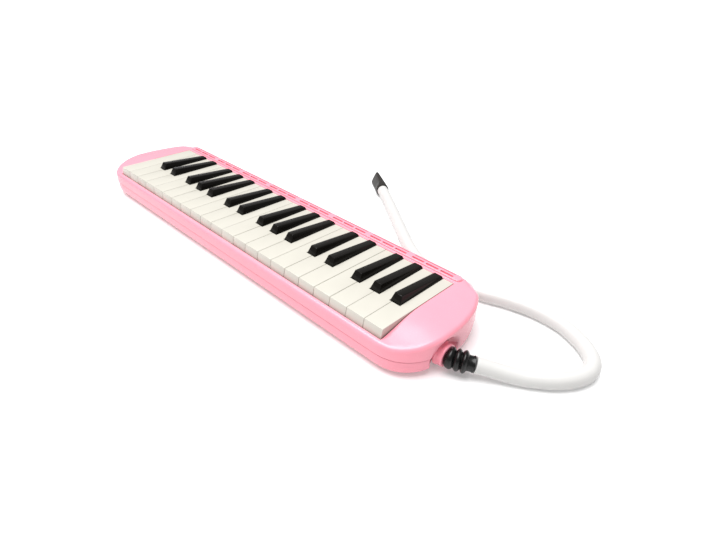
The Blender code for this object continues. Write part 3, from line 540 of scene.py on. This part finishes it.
def mouthpiece():
    """The mouthpiece with its air slot, in line with the tube and rolled onto its edge."""
    piece = cut(mouth_form(), [air_slot()])
    end, before = Vector(TUBE_ROUTE[-1]), Vector(TUBE_ROUTE[-2])
    heading = math.atan2(end.y - before.y, end.x - before.x)
    start = end + Vector((math.cos(heading), math.sin(heading), 0.0)) * MOUTH_GAP
    place = Matrix.Translation(start) @ Matrix.Rotation(heading, 4, "Z")
    piece.data.transform(place @ Matrix.Rotation(MOUTH_ROLL, 4, "X"))
    return dress(piece, "mouthpiece", MOUTH)


# ---------------------------------------------------------------- case

END_CENTRE_X = 175.0            # where the rounded ends begin
END_CENTRE_Y = -7.5             # the widest place of the ends
FRONT_POWER, REAR_POWER = 2.3, 2.1
WALL = 2.0
CHAMFER = 0.25                  # along both sides of the parting line
FOOT_HEIGHT = 1.5
FOOT_RADIUS, FOOT_EDGE = 5.0, 0.4
LOWER_EDGE = 7.0                # rounding of the lower edge
BOTTOM_INSET = 0.5              # how far the lower shell stands back from the upper
WELL_HALF, WELL_FRONT, WELL_REAR = 178.6, -45.45, 32.7
WELL_CORNER = 0.5
WELL_FLOOR = 20.0
DISH_RADIUS, DISH_DEPTH = 14.5, 4.5     # the hollow round the inlet's boss
# places across the case and the height of its top surface there
CROWN = [
    (-60.0, 24.0),
    (-46.0, 24.0),
    (-40.0, 25.0),
    (-19.0, 29.6),
    (-11.0, 30.6),
    (-5.0, 30.8),
    (60.0, 30.8),
]
DOME_FROM = 181.0
END_DROP = 2.5                  # how far the deck falls towards the ends
EDGE_FRONT, EDGE_REAR = 3.0, 9.0        # rounding of the upper edge
EDGE_GROWS_FROM, EDGE_GROWS_OVER = 34.0, 12.0
RAIL_HALF, RAIL_FRONT, RAIL_REAR = 180.5, 35.1, 42.9
RAIL_TOP = CASE_HIGH.z
RAIL_OVERLAP = 0.6              # how far the rail's wall goes into the deck
SLOT_GROUPS, GROUP_PITCH = 8, 44.2
SLOT_PITCH = 13.4
SLOT_HALF, SLOT_FRONT, SLOT_REAR, SLOT_CORNER = 5.75, 36.65, 38.55, 0.6
GROOVE_HALF, GROOVE_FRONT, GROOVE_REAR, GROOVE_CORNER = 19.15, 40.6, 41.4, 0.3
GROOVE_DEPTH = 1.0
TROUGH_HALF, TROUGH_FRONT, TROUGH_REAR = 175.5, 36.2, 39.6      # in the deck, under the slots
TROUGH_CORNER, TROUGH_DEPTH = 0.5, 0.6
BOSS_RADIUS = 8.9
INLET_CLEARANCE = 0.3
DRAIN_HOLE_RADIUS = 3.9
RECESS_RADIUS, RECESS_TOP = 3.2, 6.0    # of the screws' recesses
SCREWS = [(190.0, -32.0), (189.0, 27.0), (-190.0, -32.0), (-189.0, 27.0)]
FEET = [(160.0, -34.0), (160.0, 34.0), (-160.0, -34.0), (-160.0, 34.0)]


def smoothstep(part):
    """An even change from 0 to 1, held at both ends."""
    part = min(1.0, max(0.0, part))
    return part * part * (3.0 - 2.0 * part)


def crown(y):
    """Height of the case's top surface: low at the front, a ramp, then the level deck.

    It is a smooth curve through CROWN that rises wherever its points rise.
    """
    slopes = [0.0] * len(CROWN)
    for i in range(1, len(CROWN) - 1):
        before = (CROWN[i][1] - CROWN[i - 1][1]) / (CROWN[i][0] - CROWN[i - 1][0])
        after = (CROWN[i + 1][1] - CROWN[i][1]) / (CROWN[i + 1][0] - CROWN[i][0])
        slopes[i] = 0.0 if before * after <= 0 else 2 * before * after / (before + after)
    just_inside = CROWN[-1][0] - 0.001
    y = min(max(y, CROWN[0][0]), just_inside)
    i = max(k for k, (low, _) in enumerate(CROWN) if low <= y)
    (y0, z0), (y1, z1) = CROWN[i], CROWN[i + 1]
    t = (y - y0) / (y1 - y0)
    width = y1 - y0
    return ((2 * t ** 3 - 3 * t ** 2 + 1) * z0 + (t ** 3 - 2 * t ** 2 + t) * width * slopes[i]
            + (-2 * t ** 3 + 3 * t ** 2) * z1 + (t ** 3 - t ** 2) * width * slopes[i + 1])


def roof(x, y):
    """Height of the top surface, which falls a little towards the ends."""
    height = crown(y)
    out = max(0.0, abs(x) - DOME_FROM) / (CASE_HIGH.x - DOME_FROM)
    raised = (height - CROWN[0][1]) / (DECK - CROWN[0][1])
    return height - END_DROP * raised * out ** 2


def upper_edge(y):
    """Rounding of the upper edge: small at the front and the ends, large along the rear."""
    grown = smoothstep((y - EDGE_GROWS_FROM) / EDGE_GROWS_OVER)
    return EDGE_FRONT + (EDGE_REAR - EDGE_FRONT) * grown


def skin(x, y):
    """Height of the case's surface under the rail, rear rounding included."""
    radius = upper_edge(CASE_HIGH.y)
    past = max(0.0, y - (CASE_HIGH.y - radius))
    return roof(x, y) - radius + math.sqrt(radius ** 2 - past ** 2)


def case_outline(steps=80):
    """The case's plan, counter-clockwise: each point with its outward direction."""
    reach_x = CASE_HIGH.x - END_CENTRE_X
    front = END_CENTRE_Y - CASE_LOW.y
    rear = CASE_HIGH.y - END_CENTRE_Y
    corners = [
        (1, -1, front, FRONT_POWER),
        (1, 1, rear, REAR_POWER),
        (-1, 1, rear, REAR_POWER),
        (-1, -1, front, FRONT_POWER),
    ]
    outline = []
    for side_x, side_y, reach_y, power in corners:
        turn = []
        for step in range(steps + 1):
            angle = math.pi / 2 * step / steps
            u = math.cos(angle) ** (2 / power)
            v = math.sin(angle) ** (2 / power)
            x = side_x * (END_CENTRE_X + reach_x * u)
            y = END_CENTRE_Y + side_y * reach_y * v
            out = Vector((side_x * u ** (power - 1) / reach_x, side_y * v ** (power - 1) / reach_y))
            turn.append((Vector((x, y)), out.normalized()))
        outline += turn[::-1] if side_x * side_y < 0 else turn[1:]
    return outline


CASE_OUTLINE = case_outline()


def dished(point):
    """Moves a point of the end wall inwards where it is near the inlet's boss."""
    x, y, z = point
    away = math.hypot(y - INLET.y, z - INLET.z)
    near = smoothstep((DISH_RADIUS - away) / (DISH_RADIUS - BOSS_RADIUS))
    return (x - DISH_DEPTH * near, y, z) if x > DOME_FROM else point


def wall_ring(inset, z):
    """A ring round the case, inset by a distance; z is a number or a function of x and y."""
    outline = [point - out * inset for point, out in CASE_OUTLINE]
    return [dished(place) for place in at_height(outline, z)]


def corner_rectangle(low, high, radius, steps=6):
    """A rectangle with round corners, counter-clockwise from its lower right."""
    left, right = low[0] + radius, high[0] - radius
    front, rear = low[1] + radius, high[1] - radius
    outline = []
    for x, y, start in [(right, front, -90), (right, rear, 0), (left, rear, 90), (left, front, 180)]:
        for step in range(steps + 1):
            angle = math.radians(start + 90 * step / steps)
            outline.append((x + radius * math.cos(angle), y + radius * math.sin(angle)))
    return outline


def rail_outline(grow):
    """The rail's round-ended plan, grown by a distance."""
    end_flat = 0.001            # keeps the points where the corners meet apart
    radius = (RAIL_REAR - RAIL_FRONT) / 2
    low = (-RAIL_HALF - grow, RAIL_FRONT - grow)
    high = (RAIL_HALF + grow, RAIL_REAR + grow)
    return corner_rectangle(low, high, radius + grow - end_flat, steps=14)


def group_centres():
    """The middle of each group of slots along the rail."""
    return [(group - (SLOT_GROUPS - 1) / 2) * GROUP_PITCH for group in range(SLOT_GROUPS)]


def slot_outlines():
    """The sound slots, three in each group."""
    outlines = []
    for centre in group_centres():
        for place in (-1, 0, 1):
            x = centre + place * SLOT_PITCH
            low, high = (x - SLOT_HALF, SLOT_FRONT), (x + SLOT_HALF, SLOT_REAR)
            outlines.append(corner_rectangle(low, high, SLOT_CORNER, steps=3))
    return outlines


def groove_outlines():
    """The narrow grooves, one behind each group of slots."""
    outlines = []
    for x in group_centres():
        low, high = (x - GROOVE_HALF, GROOVE_FRONT), (x + GROOVE_HALF, GROOVE_REAR)
        outlines.append(corner_rectangle(low, high, GROOVE_CORNER, steps=3))
    return outlines


def subdivided(outline):
    """The closed outline with each of its long straight sides in forty parts."""
    long_side = 20.0
    finer = []
    for (x0, y0), (x1, y1) in zip(outline, outline[1:] + outline[:1]):
        parts = 40 if math.hypot(x1 - x0, y1 - y0) > long_side else 1
        finer += [(x0 + (x1 - x0) * k / parts, y0 + (y1 - y0) * k / parts) for k in range(parts)]
    return finer


def well_outline(grow):
    """The plan of the opening round the keys, grown by a distance."""
    low = (-WELL_HALF - grow, WELL_FRONT - grow)
    high = (WELL_HALF + grow, WELL_REAR + grow)
    return corner_rectangle(low, high, WELL_CORNER + grow, steps=4)


def end_points(rim):
    """Points on the cheeks at both ends, where the surface bends."""
    first_x, step_x = WELL_HALF + 2.0, 2.0
    first_y, step_y = -46.0, 1.9
    clear_of_rim = np.array([0.995, 0.975])
    places = []
    for i in range(14):
        for j in range(48):
            y = first_y + step_y * j
            places += [(side * (first_x + step_x * i), y) for side in (1, -1)]
    centre = np.array([0.0, END_CENTRE_Y])
    shrunk = centre + (rim - centre) * clear_of_rim
    kept = inside(shrunk, np.array(places))
    return [place for place, keep in zip(places, kept) if keep]


def upper_walls(form):
    """The outer wall from the parting line over the rounded edge; returns its rim."""
    low = PARTING_HIGH + CHAMFER
    rings = [wall_ring(CHAMFER, PARTING_HIGH), wall_ring(0.0, low)]
    steps = 7
    for step in range(1, steps):
        part = step / steps
        rings.append(wall_ring(0.0, lambda x, y, t=part: low + t * (roof(x, y) - upper_edge(y) - low)))
    for rise, back in arc_steps(9):
        ring = []
        for point, out in CASE_OUTLINE:
            radius = upper_edge(point.y)
            x, y = point - out * radius * back
            ring.append(dished((x, y, roof(x, y) - radius * (1 - rise))))
        rings.append(ring)
    _, rim = form.tower(rings)
    return rim


def key_well(form):
    """The opening round the keys with a rounded lip; returns its upper ring."""
    lip = 0.35
    rings = []
    for sine, drop in arc_steps(3):
        outline = subdivided(well_outline(lip * (1 - sine)))
        rings.append(at_height(outline, lambda x, y, drop=drop: roof(x, y) - lip * drop))
    rings.append([(x, y, WELL_FLOOR) for x, y, _ in rings[-1]])
    well, _ = form.tower(rings)
    return well


def slotted_rail():
    """The round-ended rail on the deck, with its slots and grooves."""
    form = Surface()
    fillet, shoulder = 0.5, 0.9
    rings = [at_height(subdivided(rail_outline(fillet)), lambda x, y: skin(x, y) - RAIL_OVERLAP)]
    for sine, drop in arc_steps(4):
        outline = subdivided(rail_outline(fillet * (1 - sine)))
        rings.append(at_height(outline, lambda x, y, up=fillet * drop: skin(x, y) + up))
    for sine, drop in arc_steps(5):
        outline = subdivided(rail_outline(-shoulder * drop))
        rings.append(at_height(outline, RAIL_TOP - shoulder * (1 - sine)))
    _, rim = form.tower(rings)
    slots = [form.ring(at_height(outline, RAIL_TOP)) for outline in slot_outlines()]
    grooves = []
    for outline in groove_outlines():
        heights = (RAIL_TOP, RAIL_TOP - GROOVE_DEPTH)
        groove, bottom = form.tower([at_height(outline, z) for z in heights])
        grooves.append(groove)
        form.faces.append(tuple(bottom))
    form.fill(rim, slots + grooves)
    return form.object("rail")


def thickened(obj):
    """Gives the skin the case's wall, on its inner side."""
    modifier(obj, "SOLIDIFY", thickness=WALL * MM, offset=-1.0, use_even_offset=False)
    bpy.context.view_layer.update()
    return applied(obj)


def merged(obj, other):
    """Puts both meshes into the first object, and removes the second."""
    bm = bmesh.new()
    bm.from_mesh(obj.data)
    bm.from_mesh(other.data)
    bm.to_mesh(obj.data)
    bm.free()
    bpy.data.objects.remove(other)
    return obj


def inlet_hole():
    """The cutter for the hole in the end wall, round the inlet's boss."""
    start, end = (196.0, INLET.y, INLET.z), (215.0, INLET.y, INLET.z)
    return rod("inlet_hole", start, end, BOSS_RADIUS + INLET_CLEARANCE)


def top_case():
    """The upper shell with the well for the keys, and the slotted rail on it."""
    form = Surface()
    rim = upper_walls(form)
    well = key_well(form)
    outline = corner_rectangle((-TROUGH_HALF, TROUGH_FRONT), (TROUGH_HALF, TROUGH_REAR), TROUGH_CORNER)
    trough, trough_floor = form.tower([at_height(outline, z) for z in (DECK, DECK - TROUGH_DEPTH)])
    form.faces.append(tuple(trough_floor))
    plan = np.array([form.points[index][:2] for index in rim])
    form.fill(rim, [well, trough], end_points(plan), roof)
    case = cut(thickened(form.object("upper_shell")), [inlet_hole()])
    merged(case, thickened(slotted_rail()))
    return dress(case, "top_case", PINK)


def bottom_case():
    """The lower shell: rounded lower edge, four feet and four screw recesses."""
    form = Surface()
    rings = []
    for sine, rise in arc_steps(9):
        rings.append(wall_ring(BOTTOM_INSET + LOWER_EDGE * (1 - sine), FOOT_HEIGHT + LOWER_EDGE * rise))
    wall = FOOT_HEIGHT + LOWER_EDGE
    steps = 4
    for step in range(1, steps + 1):
        rings.append(wall_ring(BOTTOM_INSET, wall + (PARTING_LOW - CHAMFER - wall) * step / steps))
    rings.append(wall_ring(BOTTOM_INSET + CHAMFER, PARTING_LOW))
    rim, _ = form.tower(rings)
    holes = []
    for centre in FEET:
        foot, top = form.tower([
            at_height(circle(centre, FOOT_RADIUS - FOOT_EDGE), 0.0),
            at_height(circle(centre, FOOT_RADIUS), FOOT_EDGE),
            at_height(circle(centre, FOOT_RADIUS), FOOT_HEIGHT),
        ])
        form.faces.append(tuple(foot[::-1]))
        holes.append(top)
    form.fill(rim, holes, up=False)
    start, end = (-215.0, DRAIN.y, DRAIN.z), (-200.0, DRAIN.y, DRAIN.z)
    cutters = [inlet_hole(), rod("drain_hole", start, end, DRAIN_HOLE_RADIUS)]
    for x, y in SCREWS:
        cutters.append(rod("recess", (x, y, -1.0), (x, y, RECESS_TOP), RECESS_RADIUS))
    case = cut(thickened(form.object("lower_shell")), cutters)
    return dress(case, "bottom_case", PINK)


def inlet_socket():
    """The round boss in the end wall, with the pipe behind it."""
    pipe_start, pipe_end = 194.8, 202.0
    pipe_bore, pipe_radius = 2.4, 3.6
    back, shoulder = 203.8, 204.8           # the boss's widest stretch
    waist, waist_length = BOSS_RADIUS - 0.8, 4.0
    edge, lip = 0.8, 0.3
    bore, bore_end = 5.8, 203.6
    profile = [(pipe_start, pipe_bore), (pipe_start, pipe_radius), (pipe_end, pipe_radius)]
    profile += [(back, BOSS_RADIUS), (shoulder, BOSS_RADIUS)]
    for sine, drop in arc_steps(6):
        profile.append((shoulder + waist_length * drop, BOSS_RADIUS + (waist - BOSS_RADIUS) * sine))
    for sine, drop in arc_steps(5):
        profile.append((INLET_FACE - edge * (1 - sine), waist - edge * drop))
    for sine, drop in arc_steps(3):
        profile.append((INLET_FACE - lip * drop, bore + lip * (1 - sine)))
    profile += [(shoulder, bore), (bore_end, pipe_bore)]
    socket = turned("socket", INLET, profile, closed=True)
    return dress(socket, "inlet_socket", PINK)


def drain_button():
    """The push button with a rounded face and its stem."""
    face, stem_end = (corner.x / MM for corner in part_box("drain_button"))
    cap_radius, cap_back, edge = 3.6, -203.6, 0.7
    middle, stem_radius = 0.3, 1.0
    profile = [(face, middle)]
    for sine, drop in arc_steps(5):
        profile.append((face + edge * drop, cap_radius - edge * (1 - sine)))
    profile += [(cap_back, cap_radius), (cap_back, stem_radius), (stem_end, stem_radius)]
    button = turned("button", DRAIN, profile, closed=False, sides=64)
    return dress(button, "drain_button", PINK, body="drain")


# ---------------------------------------------------------------- CAD nodes with finer edges

SAME_PLACE = 0.002              # corners nearer than this are one corner
SAME_PLANE = math.radians(1.0)  # faces that differ less than this are one face
CORNER = math.radians(30.0)     # edges sharper than this are rounded


def refined(node, name, material, body, width, segments):
    """A copy of a CAD node with its flat faces merged and its edges rounded."""
    bm = bmesh.new()
    bm.from_mesh(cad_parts[node].data)
    bmesh.ops.remove_doubles(bm, verts=bm.verts, dist=SAME_PLACE * MM)
    bmesh.ops.dissolve_limit(bm, angle_limit=SAME_PLANE, verts=bm.verts, edges=bm.edges)
    mesh = bpy.data.meshes.new(name)
    bm.to_mesh(mesh)
    bm.free()
    piece = linked(name, mesh)
    modifier(
        piece,
        "BEVEL",
        width=width * MM,
        segments=segments,
        limit_method="ANGLE",
        angle_limit=CORNER,
    )
    applied(piece)
    return dress(piece, node, material, body)


def keys():
    """All the keys: narrow edges on the white ones, wide ones on the black."""
    for node in WHITE_KEYS:
        refined(node, node + "_top", IVORY, node, width=0.4, segments=3)
    for node in BLACK_KEYS:
        refined(node, node + "_top", EBONY, node, width=1.0, segments=5)


def screws():
    """The heads of the case's screws."""
    for node in sorted(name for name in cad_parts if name.startswith("case_screw")):
        refined(node, node + "_head", STEEL, "case", width=0.25, segments=2)


# ---------------------------------------------------------------- studio

def studio():
    """The pale floor, an even world and one broad sun overhead."""
    floor = linked("floor", bpy.data.meshes.new("floor"))
    bm = bmesh.new()
    bmesh.ops.create_grid(bm, x_segments=2, y_segments=2, size=30.0)
    bm.to_mesh(floor.data)
    bm.free()
    table = surface("floor_white", (0.7, 0.7, 0.7), 0.005, (0.7, 0.8), scale=3.0,
                    Emission_Color=(1.0, 1.0, 1.0, 1.0), Emission_Strength=0.25)
    floor.data.materials.append(table)
    world = bpy.data.worlds.new("studio")
    bpy.context.scene.world = world
    world.use_nodes = True
    background = world.node_tree.nodes["Background"]
    background.inputs["Color"].default_value = (1.0, 1.0, 1.0, 1.0)
    background.inputs["Strength"].default_value = 0.31
    light = bpy.data.lights.new("overhead", "SUN")
    light.energy = 4.95
    light.angle = math.radians(55)
    lamp = linked("overhead", light)
    lamp.rotation_mode = "QUATERNION"
    lamp.rotation_quaternion = Vector((0.2, 0.12, -0.97)).to_track_quat("-Z", "Y")


def carried_over():
    """Better materials on the CAD nodes that stay."""
    chosen = {
        "air_chamber": GREY,
        "chamber_cover": GREY,
        "chamber_gasket": SEAL,
        "inlet_seal": SEAL,
        "drain_seal": SEAL,
        "reed_plate_low": BRASS,
        "reed_plate_high": BRASS,
        "key_pivot_rod": STEEL,
        "key_spring_comb": STEEL,
        "drain_spring": STEEL,
        "key_stop_felt": FELT,
    }
    for node, material in chosen.items():
        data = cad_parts[node].data
        data.materials.clear()
        data.materials.append(material)


add_camera()
tube = blow_tube()
adapter = tube_adapter()
mouth = mouthpiece()
top_case()
bottom_case()
inlet_socket()
drain_button()
keys()
screws()
carried_over()
studio()
bpy.context.scene.view_settings.view_transform = "Standard"
